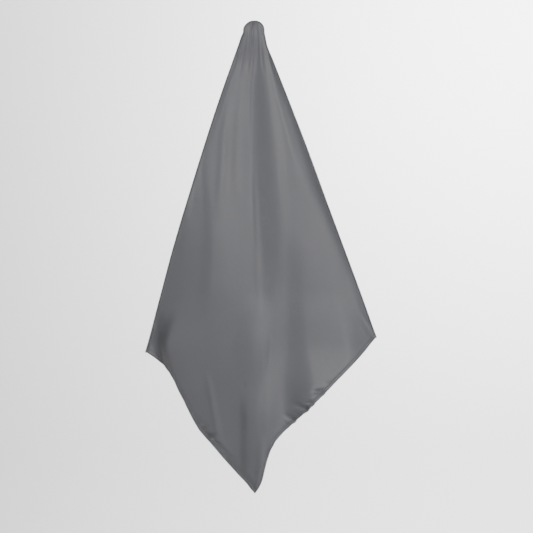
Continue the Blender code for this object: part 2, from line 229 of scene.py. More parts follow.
# Lengthwise folds of the front, which run down from the peg: where each crest or hollow lies and
# how far it stands off the wall, at the heights in FOLD_HEIGHTS
FOLD_HEIGHTS = (-0.056, -0.153, -0.270, -0.386, -0.502, -0.556, -0.610, -0.677, -0.745, -0.803)
FRONT_FOLDS = (
    # name, x at each height, off_wall at each height
    (
        "left_corner",
        (-0.0365, -0.0710, -0.1070, -0.1280, -0.1500, -0.1780, -0.1960, -0.1750, -0.1400, -0.1200),
        (0.0590, 0.0578, 0.0576, 0.0535, 0.0415, 0.0290, 0.0125, 0.0260, 0.0340, 0.0370),
    ),
    (
        "left_flank",
        (-0.0355, -0.0689, -0.1030, -0.1010, -0.1120, -0.1480, -0.1670, -0.1500, -0.1180, -0.1000),
        (0.0591, 0.0580, 0.0572, 0.0554, 0.0492, 0.0428, 0.0422, 0.0392, 0.0385, 0.0395),
    ),
    (
        "left_shoulder",
        (-0.0310, -0.0631, -0.0900, -0.0800, -0.0820, -0.0850, -0.0880, -0.0930, -0.0863, -0.0805),
        (0.0600, 0.0588, 0.0580, 0.0590, 0.0562, 0.0530, 0.0505, 0.0475, 0.0455, 0.0445),
    ),
    (
        "left_slope",
        (-0.0146, -0.0175, -0.0280, -0.0280, -0.0262, -0.0350, -0.0436, -0.0380, -0.0300, -0.0290),
        (0.0605, 0.0550, 0.0527, 0.0532, 0.0533, 0.0538, 0.0540, 0.0550, 0.0552, 0.0552),
    ),
    (
        "middle_ridge",
        (-0.0078, -0.0100, -0.0110, -0.0075, 0.0000, 0.0005, 0.0000, -0.0020, -0.0110, -0.0110),
        (0.0602, 0.0542, 0.0518, 0.0510, 0.0512, 0.0558, 0.0600, 0.0607, 0.0652, 0.0655),
    ),
    (
        "upper_groove",
        (0.0000, -0.0050, -0.0048, 0.0015, 0.0160, 0.0170, 0.0165, 0.0140, 0.0060, 0.0060),
        (0.0585, 0.0525, 0.0505, 0.0500, 0.0500, 0.0545, 0.0590, 0.0615, 0.0682, 0.0690),
    ),
    (
        "upper_crest",
        (0.0184, 0.0320, 0.0437, 0.0514, 0.0398, 0.0369, 0.0340, 0.0230, 0.0180, 0.0190),
        (0.0612, 0.0594, 0.0584, 0.0560, 0.0510, 0.0527, 0.0545, 0.0608, 0.0684, 0.0700),
    ),
    (
        "lower_hollow",
        (0.0223, 0.0437, 0.0650, 0.0689, 0.0631, 0.0625, 0.0620, 0.0560, 0.0580, 0.0440),
        (0.0607, 0.0583, 0.0556, 0.0540, 0.0503, 0.0509, 0.0515, 0.0562, 0.0610, 0.0680),
    ),
    (
        "right_crest",
        (0.0250, 0.0495, 0.0766, 0.0863, 0.0999, 0.1018, 0.1045, 0.1165, 0.1150, 0.0592),
        (0.0603, 0.0577, 0.0552, 0.0530, 0.0528, 0.0552, 0.0580, 0.0710, 0.0865, 0.0670),
    ),
    (
        "right_slope",
        (0.0280, 0.0553, 0.0883, 0.1193, 0.1465, 0.1590, 0.1717, 0.1756, 0.1560, 0.1200),
        (0.0597, 0.0561, 0.0532, 0.0500, 0.0505, 0.0536, 0.0570, 0.0680, 0.0755, 0.0680),
    ),
)

# Lower edge of the front, from the left point by the bottom corner to the right point
LOWER_EDGE = np.array(
    [
        # across the front, height
        (0.000, -0.627),
        (0.035, -0.637),
        (0.078, -0.650),
        (0.118, -0.665),
        (0.145, -0.681),
        (0.169, -0.700),
        (0.197, -0.720),
        (0.243, -0.759),
        (0.267, -0.778),
        (0.298, -0.797),
        (0.332, -0.816),
        (0.365, -0.835),
        (0.399, -0.855),
        (0.430, -0.8755),
        (0.452, -0.8885),
        (0.465, -0.8948),
        (0.475, -0.8870),
        (0.487, -0.872),
        (0.495, -0.852),
        (0.504, -0.833),
        (0.516, -0.814),
        (0.536, -0.794),
        (0.568, -0.775),
        (0.608, -0.755),
        (0.651, -0.7355),
        (0.696, -0.716),
        (0.742, -0.697),
        (0.787, -0.678),
        (0.836, -0.659),
        (0.887, -0.640),
        (0.938, -0.621),
        (1.000, -0.5965),
    ]
)
BOTTOM_SHARE = 0.465

# Flaps behind the front: where the free corner hangs, and the waves between fold and free edge
FLAPS = {
    # side: corner_x, corner_height, corner_off_wall, wave_depth, waves
    -1: (0.060, -0.612, 0.0360, 0.0060, 1.5),
    1: (-0.030, -0.618, 0.0150, 0.0070, 1.5),
}
# Creases down the flaps: how far across the flap each starts at the peg and ends at the lower
# edge, its half width, its depth towards the wall, and how far down it starts
FLAP_CREASES = {
    -1: (
        (0.30, 0.38, 0.019, 0.0032, 0.22),
        (0.58, 0.63, 0.022, -0.0036, 0.35),
        (0.86, 0.83, 0.018, 0.0026, 0.12),
    ),
    1: (
        (0.24, 0.20, 0.018, -0.0030, 0.16),
        (0.52, 0.47, 0.021, 0.0030, 0.40),
        (0.80, 0.86, 0.018, -0.0034, 0.26),
    ),
}
FLAP_CREASE_RISE = 0.3
# The most of a flap's width that its hem takes up, near the peg
WIDEST_HEM_SHARE = 0.3
# Where front, side fold and flap end on the cap's rim, as turns from straight ahead
FRONT_TURN = math.radians(78)
FOLD_TURN = math.radians(100)
FLAP_TURN = math.radians(135)

# Finer creases of the front, as soft ridges (depth above 0) and troughs (depth below 0)
FRONT_CREASES = {
    # name: (height, x, half_width, depth) from top to bottom
    "cap_pleat_left": (
        (0.0200, -0.0035, 0.0016, 0.0000),
        (0.0110, -0.0048, 0.0018, -0.0012),
        (-0.0060, -0.0078, 0.0020, -0.0013),
        (-0.0260, -0.0070, 0.0022, -0.0010),
        (-0.0560, -0.0110, 0.0026, -0.0010),
        (-0.0900, -0.0150, 0.0034, 0.0000),
    ),
    "cap_ridge": (
        (0.0200, 0.0010, 0.0014, 0.0000),
        (0.0120, 0.0006, 0.0016, 0.0008),
        (-0.0260, -0.0010, 0.0018, 0.0007),
        (-0.0560, -0.0040, 0.0022, 0.0009),
        (-0.1000, -0.0060, 0.0030, 0.0000),
    ),
    "cap_pleat_right": (
        (0.0160, 0.0036, 0.0014, 0.0000),
        (0.0060, 0.0046, 0.0018, -0.0009),
        (-0.0170, 0.0066, 0.0022, -0.0012),
        (-0.0560, 0.0056, 0.0034, -0.0008),
        (-0.0900, 0.0060, 0.0050, 0.0000),
    ),
    "cap_pleat_far_right": (
        (0.0120, 0.0085, 0.0014, 0.0000),
        (0.0040, 0.0122, 0.0018, -0.0007),
        (-0.0260, 0.0130, 0.0024, -0.0006),
        (-0.0560, 0.0150, 0.0030, -0.0008),
        (-0.0900, 0.0210, 0.0040, 0.0000),
    ),
    "cap_pleat_far_left": (
        (0.0060, -0.0130, 0.0016, 0.0000),
        (-0.0200, -0.0170, 0.0020, -0.0004),
        (-0.0560, -0.0230, 0.0026, -0.0006),
        (-0.1000, -0.0330, 0.0040, 0.0000),
    ),
    "thin_middle_ridge": (
        (-0.2600, 0.0000, 0.0040, 0.0000),
        (-0.3400, 0.0020, 0.0048, 0.0006),
        (-0.4300, 0.0050, 0.0056, 0.0008),
        (-0.5400, 0.0100, 0.0064, 0.0005),
        (-0.6200, 0.0120, 0.0070, 0.0000),
    ),
    "left_pleat": (
        (-0.1300, -0.0480, 0.0060, 0.0000),
        (-0.2100, -0.0600, 0.0080, 0.0014),
        (-0.2900, -0.0640, 0.0090, 0.0018),
        (-0.3700, -0.0700, 0.0100, 0.0000),
    ),
    "second_left_pleat": (
        (-0.0900, -0.0230, 0.0040, 0.0000),
        (-0.1800, -0.0320, 0.0070, 0.0008),
        (-0.2700, -0.0350, 0.0090, 0.0010),
        (-0.3500, -0.0330, 0.0110, 0.0000),
    ),
    "right_pleat": (
        (-0.0300, 0.0160, 0.0024, 0.0000),
        (-0.1000, 0.0360, 0.0040, 0.0003),
        (-0.2000, 0.0670, 0.0060, 0.0004),
        (-0.3000, 0.0990, 0.0080, 0.0005),
        (-0.4000, 0.1300, 0.0110, 0.0005),
        (-0.5000, 0.1480, 0.0140, 0.0000),
    ),
    "lower_left_streak": (
        (-0.6600, -0.0930, 0.0050, 0.0000),
        (-0.7000, -0.0860, 0.0060, 0.0016),
        (-0.7700, -0.0730, 0.0070, 0.0018),
        (-0.8100, -0.0660, 0.0060, 0.0000),
    ),
    "left_corner_pocket": (
        (-0.5400, -0.1870, 0.0090, 0.0000),
        (-0.5700, -0.1950, 0.0110, -0.0030),
        (-0.6020, -0.2040, 0.0150, -0.0062),
        (-0.6300, -0.1930, 0.0130, -0.0055),
        (-0.6550, -0.1770, 0.0090, -0.0015),
    ),
    "right_corner_ridge": (
        (-0.4800, 0.1830, 0.0090, 0.0000),
        (-0.5425, 0.2020, 0.0095, 0.0020),
        (-0.5780, 0.2230, 0.0095, 0.0034),
        (-0.5960, 0.2330, 0.0090, 0.0036),
        (-0.6200, 0.2450, 0.0080, 0.0020),
    ),
    "tip_fold": (
        (-0.7800, 0.0140, 0.0080, 0.0000),
        (-0.8300, 0.0135, 0.0090, 0.0030),
        (-0.8600, 0.0130, 0.0100, 0.0050),
        (-0.8800, 0.0115, 0.0150, 0.0120),
        (-0.9100, 0.0110, 0.0170, 0.0150),
    ),
    "small_tuck": (
        (-0.6820, -0.0180, 0.0024, 0.0000),
        (-0.6880, -0.0205, 0.0026, -0.0010),
        (-0.6960, -0.0235, 0.0024, 0.0000),
    ),
}

# Short puckers that the stitches draw into the cloth above the lower hems
HEM_PUCKERS = (
    # x and height at the hem, length, rise in degrees from there, half_width, depth
    (0.1450, -0.6830, 0.014, 172, 0.0026, 0.0016),
    (0.1308, -0.6981, 0.026, 176, 0.0036, 0.0060),
    (0.1205, -0.7090, 0.014, 172, 0.0024, 0.0024),
    (0.1114, -0.7190, 0.024, 177, 0.0034, 0.0060),
    (0.0988, -0.7311, 0.030, 160, 0.0042, 0.0085),
    (0.0870, -0.7420, 0.018, 158, 0.0024, 0.0026),
    (0.0756, -0.7543, 0.026, 146, 0.0036, 0.0060),
    (0.0640, -0.7630, 0.012, 140, 0.0024, 0.0014),
    (-0.1130, -0.7560, 0.012, 15, 0.0024, 0.0018),
    (-0.1010, -0.7700, 0.016, 10, 0.0028, 0.0026),
    (-0.0920, -0.7840, 0.024, 8, 0.0036, 0.0060),
    (-0.0790, -0.7970, 0.026, -22, 0.0036, 0.0050),
    (-0.0640, -0.8120, 0.020, -25, 0.0030, 0.0030),
    (-0.0500, -0.8260, 0.014, 10, 0.0026, 0.0018),
)
# How far the lower edge curls back towards the wall, by the run along it from the bottom corner
EDGE_CURLS = (
    # run, depth, reach up the cloth
    (-0.420, 0.0030, 0.030),
    (-0.390, 0.0020, 0.030),
    (-0.355, 0.0080, 0.030),
    (-0.320, 0.0010, 0.020),
    (-0.230, 0.0020, 0.018),
    (-0.170, 0.0090, 0.026),
    (-0.120, 0.0110, 0.026),
    (-0.060, 0.0050, 0.022),
    (-0.025, 0.0060, 0.022),
    (0.000, 0.0080, 0.020),
    (0.030, 0.0040, 0.018),
    (0.120, 0.0010, 0.014),
    (0.420, 0.0000, 0.014),
)

# Columns and rows of the mesh
FRONT_COLUMNS = 150
FOLD_COLUMNS = 7
FLAP_COLUMNS = 28
HEM_STEPS = 3
TIP_COLUMNS = 14
ROWS = 196
ROW_CROWDING = (
    # rows so far, way down so far, both as shares
    (0.00, 0.00),
    (0.07, 0.02),
    (0.78, 0.94),
    (1.00, 1.00),
)
CAP_RINGS = 16
TIP_ROWS = 12
# Samples along the lower edge, how far down a column its slant to that edge is read, and the
# least values of the sine of that slant, of a cosine and of a length
EDGE_SAMPLES = 200
NEAR_EDGE = 0.98
LEAST_HEM_SINE = 0.45
LEAST_COSINE = 1e-9
LEAST_LENGTH = 1e-12


def smooth_through(known, values, wanted, end_slopes=None):
    """Values at wanted places on a smooth curve that never overshoots its known points. The
    known places and values run along the first axis and may differ from point to point."""
    wanted = np.asarray(wanted, float)
    shape = (len(known),) + wanted.shape

    def spread(table):
        missing = (1,) * (len(shape) - np.ndim(table))
        return np.broadcast_to(np.reshape(table, np.shape(table) + missing), shape)

    def at(table, k):
        return np.take_along_axis(table, k, axis=0)[0]

    known = spread(known)
    values = spread(values)
    step = np.diff(known, axis=0)
    slope = np.diff(values, axis=0) / step
    same_way = slope[:-1] * slope[1:] > 0
    weight_a = 2 * step[1:] + step[:-1]
    weight_b = step[1:] + 2 * step[:-1]
    above = np.where(same_way, slope[:-1], 1.0)
    below = np.where(same_way, slope[1:], 1.0)
    mean = np.where(same_way, (weight_a + weight_b) / (weight_a / above + weight_b / below), 0.0)
    first, last = (slope[0], slope[-1]) if end_slopes is None else end_slopes
    tangent = np.concatenate([first[None], mean, last[None]])
    wanted = np.clip(wanted, known[0], known[-1])
    i = np.clip((wanted > known).sum(axis=0) - 1, 0, len(step) - 1)[None]
    width = at(step, i)
    t = (wanted - at(known, i)) / width
    return (
        (1 + 2 * t) * (1 - t) ** 2 * at(values, i)
        + t * (1 - t) ** 2 * width * at(tangent, i)
        + t * t * (3 - 2 * t) * at(values, i + 1)
        + t * t * (t - 1) * width * at(tangent, i + 1)
    )


def ease(t):
    """Runs smoothly from 0 to 1 while t does."""
    t = np.clip(t, 0, 1)
    return t * t * (3 - 2 * t)


def side_at(side, height):
    """A side fold at a height: how far out it reaches, how far off the wall the front runs into
    it, its radius, and how far the cloth has turned there."""
    table = SIDES[:, 1:5] if side < 0 else SIDES[:, 5:]
    x, off_wall, radius, turn = (smooth_through(SIDES[:, 0], values, height) for values in table.T)
    return x, off_wall, radius, np.radians(turn)


def front_ends(height):
    """x of the front's left and right end, where it runs into the side folds."""
    ends = []
    for side in (-1, 1):
        x, _, radius, turn = side_at(side, height)
        ends.append(x - side * radius * (1 - np.sin(turn)))
    return ends


def front_off_wall(across, height):
    """How far the front stands off the wall, on a smooth curve through the lengthwise folds."""
    start, end = front_ends(height)
    _, left_off, _, left_turn = side_at(-1, height)
    _, right_off, _, right_turn = side_at(1, height)
    width = end - start
    down = np.negative(FOLD_HEIGHTS)
    places = [np.zeros_like(height)]
    offs = [left_off]
    for _, x, off_wall in FRONT_FOLDS:
        fold_x = smooth_through(down, x, -height)
        places.append((fold_x - start) / width)
        offs.append(smooth_through(down, off_wall, -height))
    places.append(np.ones_like(height))
    offs.append(right_off)
    end_slopes = (width * np.tan(left_turn), -width * np.tan(right_turn))
    return smooth_through(np.array(places), np.array(offs), across, end_slopes)


def cap_point(turn, lift):
    """The cap over the peg's head. turn is about the vertical from the front, and lift runs
    from 0 on the cap's rim to 1 on its top. At the back the rim clears the neck."""
    rim = NECK_REST * ease((np.abs(turn) - FOLD_TURN) / (FLAP_TURN - FOLD_TURN))
    angle = lift * math.pi / 2
    flare = 1 + CAP_LEFT_FLARE * (np.asarray(turn) < 0) * np.cos(angle) ** 4
    x = CAP_RADIUS * flare * np.sin(turn) * np.cos(angle)
    forwards = np.cos(turn)
    flattened = np.maximum(forwards, LEAST_COSINE) ** CAP_FLATNESS * np.cos(angle) ** CAP_ROUNDNESS
    forwards = np.where(forwards > 0, flattened, forwards * np.cos(angle))
    lift_out = CAP_LEFT_LIFT * np.minimum(x, 0) * (forwards > 0)
    y = -HEAD_OFF_WALL - CAP_HALF_DEPTH * forwards + lift_out
    return np.stack([x, y, rim + (CAP_RADIUS - rim) * np.sin(angle)], axis=-1)


def hem_part(free_x, start_x):
    """The part of a flap's width that its hem takes up."""
    return np.minimum(HEM_WIDTH / np.abs(free_x - start_x), WIDEST_HEM_SHARE)


def hanging_point(column, height):
    """Points of one column of the cloth at a row of heights. column is (zone, side, share): the
    share runs across the front, round a side fold, over a flap to the line where its hem begins,
    or in the zone "hem" from that line to the flap's free edge."""
    zone, side, share = column
    if zone == "front":
        start, end = front_ends(height)
        x = (1 - share) * start + share * end
        return np.stack([x, -front_off_wall(np.full_like(height, share), height), height], axis=-1)
    edge_x, edge_off, radius, turned = side_at(side, height)
    fold_off = edge_off - radius * np.cos(turned)
    if zone == "fold":
        turn = turned + share * (math.pi - turned)
        x = edge_x - side * radius * (1 - np.sin(turn))
        return np.stack([x, -fold_off - radius * np.cos(turn), height], axis=-1)
    corner_x, corner_height, corner_off, wave_depth, waves = FLAPS[side]
    down = height / corner_height
    free_x = side * CAP_RADIUS * math.sin(FLAP_TURN) * (1 - down) + corner_x * down
    free_off = (HEAD_OFF_WALL + CAP_HALF_DEPTH * math.cos(FLAP_TURN)) * (1 - down) + corner_off * down
    start_x = edge_x - side * radius
    start_off = fold_off - radius
    hem = hem_part(free_x, start_x)
    share = share * (1 - hem) if zone == "flap" else 1 - hem * (1 - share)
    wave = wave_depth * down * np.sin(waves * 2 * math.pi * share)
    x = start_x + share * (free_x - start_x)
    for at_top, at_bottom, width, depth, begins in FLAP_CREASES[side]:
        middle = start_x + (at_top + (at_bottom - at_top) * down) * (free_x - start_x)
        risen = ease((down - begins) / FLAP_CREASE_RISE)
        wave = wave + depth * risen * np.exp(-(((x - middle) / width) ** 2))
    return np.stack([x, -(start_off + share * (free_off - start_off)) + wave, height], axis=-1)


def lowest(column):
    """The height at which a column ends in the lower edge."""
    zone, side, share = column
    if zone == "front":
        return float(np.interp(share, LOWER_EDGE[:, 0], LOWER_EDGE[:, 1]))
    point = float(LOWER_EDGE[0, 1] if side < 0 else LOWER_EDGE[-1, 1])
    if zone == "fold":
        return point
    corner_x, corner_height, *_ = FLAPS[side]
    edge_x, _, radius, _ = side_at(side, corner_height)
    hem = hem_part(corner_x, edge_x - side * radius)
    share = share * (1 - hem) if zone == "flap" else 1 - hem * (1 - share)
    return point + share * (corner_height - point)


def turn_of(column):
    """Where a column leaves the cap's rim."""
    zone, side, share = column
    if zone == "front":
        return FRONT_TURN * (2 * share - 1)
    if zone == "fold":
        return side * (FRONT_TURN + share * (FOLD_TURN - FRONT_TURN))
    share = share * (1 - WIDEST_HEM_SHARE) if zone == "flap" else 1 - WIDEST_HEM_SHARE * (1 - share)
    return side * (FOLD_TURN + share * (FLAP_TURN - FOLD_TURN))


def cloth_points(column, down):
    """Points of a column below the cap: down runs from 0 on the cap's rim to 1 at the edge."""
    down = np.asarray(down, float)
    rim = cap_point(turn_of(column), 0)
    height = rim[2] + down * (lowest(column) - rim[2])
    hanging = hanging_point(column, np.minimum(height, 0.0))
    hanging[..., 2] = height
    fallen = rim[2] - height
    sideways = ease(fallen / CAP_SPREAD)
    forwards = ease((fallen - CAP_HOLD) / CAP_SETTLE)
    return rim + (hanging - rim) * np.stack([sideways, forwards, np.ones_like(fallen)], axis=-1)


def front_shares():
    """Places of the front's columns, half by width and half by length along the lower edge."""
    shares = []
    for start, end in ((0.0, BOTTOM_SHARE), (BOTTOM_SHARE, 1.0)):
        fine = np.linspace(start, end, EDGE_SAMPLES)
        edge = np.array([cloth_points(("front", 0, share), 1.0) for share in fine])
        along = np.concatenate([[0], np.cumsum(np.linalg.norm(np.diff(edge, axis=0), axis=1))])
        steps = FRONT_COLUMNS // 2
        by_length = np.interp(np.linspace(0, along[-1], steps + 1), along, fine)
        by_width = np.linspace(start, end, steps + 1)
        shares += list((by_length + by_width) / 2)[:steps]
    return shares + [1.0]


def cloth_columns():
    """Every column below the cap, from the left free edge round the front to the right one."""
    outwards = [("fold", k / FOLD_COLUMNS) for k in range(1, FOLD_COLUMNS + 1)]
    outwards += [("flap", k / FLAP_COLUMNS) for k in range(1, FLAP_COLUMNS + 1)]
    outwards += [("hem", k / HEM_STEPS) for k in range(1, HEM_STEPS + 1)]
    left = [(zone, -1, share) for zone, share in reversed(outwards)]
    front = [("front", 0, float(share)) for share in front_shares()]
    right = [(zone, 1, share) for zone, share in outwards]
    return left + front + right


columns = cloth_columns()
edge_points = np.array([cloth_points(column, 1.0) for column in columns])
edge_steps = np.linalg.norm(np.diff(edge_points, axis=0), axis=1)
edge_run = np.concatenate([[0], np.cumsum(edge_steps)])
bottom = columns.index(("front", 0, BOTTOM_SHARE))

# How far down each column its hem begins, for a hem that is equally wide all along
edge_along = np.gradient(edge_points, axis=0)
above_edge = np.array([cloth_points(column, NEAR_EDGE) for column in columns])
down_column = edge_points - above_edge
sine = np.linalg.norm(np.cross(down_column, edge_along), axis=1) / (
    np.linalg.norm(down_column, axis=1) * np.linalg.norm(edge_along, axis=1)
)
rim_points = np.array([cloth_points(column, 0.0) for column in columns])
column_length = np.linalg.norm(edge_points - rim_points, axis=1)
hem_begins = 1 - HEM_WIDTH / np.maximum(sine, LEAST_HEM_SINE) / column_length

row_shares = np.interp(np.linspace(0, 1, ROWS + 1), *np.transpose(ROW_CROWDING))
hem_shares = np.arange(1, HEM_STEPS + 1) / HEM_STEPS
grid = np.stack(
    [
        cloth_points(column, np.concatenate([begin * row_shares, begin + (1 - begin) * hem_shares]))
        for column, begin in zip(columns, hem_begins)
    ],
    axis=1,
)


def outward(points):
    """The direction out of the face of the cloth, at each point of a grid of rows."""
    across = np.gradient(points, axis=1)
    along = np.gradient(points, axis=0)
    normal = np.cross(along, across)
    return normal / np.maximum(np.linalg.norm(normal, axis=2, keepdims=True), LEAST_LENGTH)


def crease_depth(x, height, crease):
    """How far a crease moves the cloth out at each point. Every crease has depth 0 at its top."""
    heights, *table = np.array(crease)[::-1].T
    centre, half_width, depth = (smooth_through(heights, values, height) for values in table)
    return depth * np.exp(-(((x - centre) / half_width) ** 2))


def front_weight_of(column):
    """How much of the front's creases a column takes: all on the front, and none from the middle
    of a side fold."""
    zone, _, share = column
    if zone == "front":
        return 1.0
    if zone == "fold":
        return 1.0 - ease(share * 2)
    return 0.0


cap_lifts = np.linspace(1, 0, CAP_RINGS + 1)[1:-1]
cap_turns = np.array([turn_of(column) for column in columns])
cap_rows = np.array([cap_point(cap_turns, lift) for lift in cap_lifts])
sheet_points = np.concatenate([cap_rows, grid])
front_weight = np.array([front_weight_of(column) for column in columns])
moved_out = np.zeros(sheet_points.shape[:2])
for crease in FRONT_CREASES.values():
    moved_out += crease_depth(sheet_points[..., 0], sheet_points[..., 2], crease)
moved_out *= front_weight

# The back of the cap, between the flaps
behind = np.linspace(FLAP_TURN, 2 * math.pi - FLAP_TURN, TIP_COLUMNS + 1)
behind = np.array([math.remainder(turn, 2 * math.pi) for turn in behind])
back_lifts = np.append(cap_lifts, 0.0)
cap_back = np.array([cap_point(behind, lift) for lift in back_lifts])

# Place of every point on the flat cut, for the weave: the corner over the peg is (0, 0)
rim_reach = CAP_RADIUS * math.pi / 2
cap_centre = np.array((0.0, -math.sqrt(2) * rim_reach))


def flat_on_cap(turns, lift):
    """Places on the flat cut of points on the cap."""
    reach = rim_reach * (1 - lift)
    return cap_centre + reach * np.stack([np.sin(turns), -np.cos(turns)], axis=-1)


bottom_corner = np.array((0.0, -math.sqrt(2) * CLOTH_SIDE))
run = edge_run - edge_run[bottom]
run = np.where(run < 0, run / -run[0], run / run[-1]) * CLOTH_SIDE
flat_edge = bottom_corner + np.stack([run, np.abs(run)], axis=1) / math.sqrt(2)
flat_rim = flat_on_cap(cap_turns, 0.0)
row_steps = np.linalg.norm(np.diff(grid, axis=0), axis=2)
row_run = np.concatenate([np.zeros((1, len(columns))), np.cumsum(row_steps, axis=0)])
row_run = (row_run / row_run[-1])[..., None]
flat_grid = flat_rim + row_run * (flat_edge - flat_rim)
flat_cap = np.array([flat_on_cap(cap_turns, lift) for lift in cap_lifts])
flat_sheet = np.concatenate([flat_cap, flat_grid])
flat_back = np.array([flat_on_cap(behind, lift) for lift in back_lifts])

# Distance of every point from the lower left and the lower right side of the cut
lower_right_inset = CLOTH_SIDE - (flat_sheet[..., 0] - flat_sheet[..., 1]) / math.sqrt(2)
lower_left_inset = CLOTH_SIDE + (flat_sheet[..., 0] + flat_sheet[..., 1]) / math.sqrt(2)
for hem_x, hem_height, length, rise, half_width, depth in HEM_PUCKERS:
    way_x, way_z = math.cos(math.radians(rise)), math.sin(math.radians(rise))
    off_x, off_z = sheet_points[..., 0] - hem_x, sheet_points[..., 2] - hem_height
    along = off_x * way_x + off_z * way_z
    across = off_x * way_z - off_z * way_x
    fade = ease(1 - along / length) * ease(1 + along / HEM_WIDTH)
    moved_out -= depth * front_weight * fade * np.exp(-((across / half_width) ** 2))
curl_run, curl_depth, curl_reach = np.array(EDGE_CURLS).T
inset = np.minimum(lower_left_inset, lower_right_inset)
run = lower_left_inset - lower_right_inset
reach = np.interp(run, curl_run, curl_reach)
moved_out -= front_weight * np.interp(run, curl_run, curl_depth) * np.clip(1 - inset / reach, 0, 1) ** 2
sheet_points = sheet_points + outward(sheet_points) * moved_out[..., None]


def corner_point(turn, out):
    """The corner that reaches over the head and rests on the neck: out runs from 0 on the cap's
    rim to 1 at the cloth's corner."""
    start = cap_point(turn, 0.0)
    corner = np.array((0.0, -CORNER_OFF_WALL, NECK_REST))
    point = start + out * (corner - start)
    point[..., 2] -= CORNER_DROOP * np.abs(point[..., 0]) * math.sin(math.pi * out)
    return point


points = [np.array([cap_point(0.0, 1.0)])]
flats = [cap_centre[None]]


def add_points(new_points, new_flats):
    """Adds points to the mesh and gives their numbers."""
    first = sum(map(len, points))
    points.append(np.reshape(new_points, (-1, 3)))
    flats.append(np.reshape(new_flats, (-1, 2)))
    return np.arange(first, first + len(points[-1])).reshape(np.shape(new_points)[:-1])


sheet_numbers = add_points(sheet_points, flat_sheet)
back_numbers = add_points(cap_back[:, 1:-1], flat_back[:, 1:-1])
rims = len(cap_lifts) + 1
rings = np.concatenate([sheet_numbers[:rims], back_numbers, sheet_numbers[:rims, :1]], axis=1)
faces = [(0, int(a), int(b)) for a, b in zip(rings[0], rings[0][1:])]


def grid_faces(numbers):
    """Faces between the rows of a grid, given top row first and left to right from outside."""
    corners = [numbers[:-1, :-1], numbers[1:, :-1], numbers[1:, 1:], numbers[:-1, 1:]]
    return list(map(tuple, np.stack(corners, axis=-1).reshape(-1, 4).tolist()))


faces += grid_faces(rings)
faces += grid_faces(sheet_numbers[rims - 1 :])
corner_outs = np.linspace(0, 1, TIP_ROWS + 1)[1:-1]
corner_points = np.array([corner_point(behind, out) for out in corner_outs])
flat_corner = np.array([flat_back[-1] * (1 - out) for out in corner_outs])
corner_numbers = add_points(corner_points, flat_corner)
rim_numbers = sheet_numbers[rims - 1]
first_row = np.concatenate([rim_numbers[-1:], back_numbers[-1], rim_numbers[:1]])
faces += grid_faces(np.concatenate([first_row[None], corner_numbers]))
corner = int(add_points(corner_point(math.pi, 1.0)[None], np.zeros((1, 2)))[0])
faces += [(int(a), corner, int(b)) for a, b in zip(corner_numbers[-1], corner_numbers[-1][1:])]


def new_piece(name, all_points, all_faces, material, flat_places=None):
    """A mesh piece with its place in its mesh, and the flat cut's places as its UV map."""
    mesh = bpy.data.meshes.new(name)
    mesh.from_pydata(np.asarray(all_points, float).tolist(), [], all_faces)
    if flat_places is not None:
        loops = np.empty(len(mesh.loops), np.int32)
        mesh.loops.foreach_get("vertex_index", loops)
        layer = mesh.uv_layers.new(name="cut")
        layer.data.foreach_set("uv", flat_places[loops].astype(np.float32).ravel())
    mesh.materials.append(material)
    mesh.shade_smooth()
    made = bpy.data.objects.new(name, mesh)
    bpy.context.scene.collection.objects.link(made)
    return made


def apply_modifiers(made):
    """Keeps what a piece's modifiers make as its plain mesh."""
    graph = bpy.context.evaluated_depsgraph_get()
    mesh = bpy.data.meshes.new_from_object(made.evaluated_get(graph))
    made.modifiers.clear()
    made.data = mesh


def thicken(made, wall):
    """Gives an open surface its wall, half to each side."""
    solid = made.modifiers.new("wall", "SOLIDIFY")
    solid.thickness = wall
    solid.offset = 0.0
    apply_modifiers(made)


# The weave: threads in a metre, one dip in how many threads, how many threads on the next row
# dips, how deep a dip is, how far the dye strays from its colour, and how fine its streaks are
THREADS = 3300.0
SATIN_FLOAT = 8.0
SATIN_STEP = 3.0
SATIN_DIP = 0.8
DYE_SPREAD = 0.05
STREAK_GRAIN = (900.0, 30.0, 1.0)
# The edge: how far in its stitches lie, the half width of their groove, how far in the edge is
# rounded and gathered, and the depth of all that
STITCH_INSET = 0.0066
STITCH_GROOVE = 0.0022
EDGE_ROUND = 0.0012
GATHER_REACH = 0.016
HEM_DEPTH = 0.0006


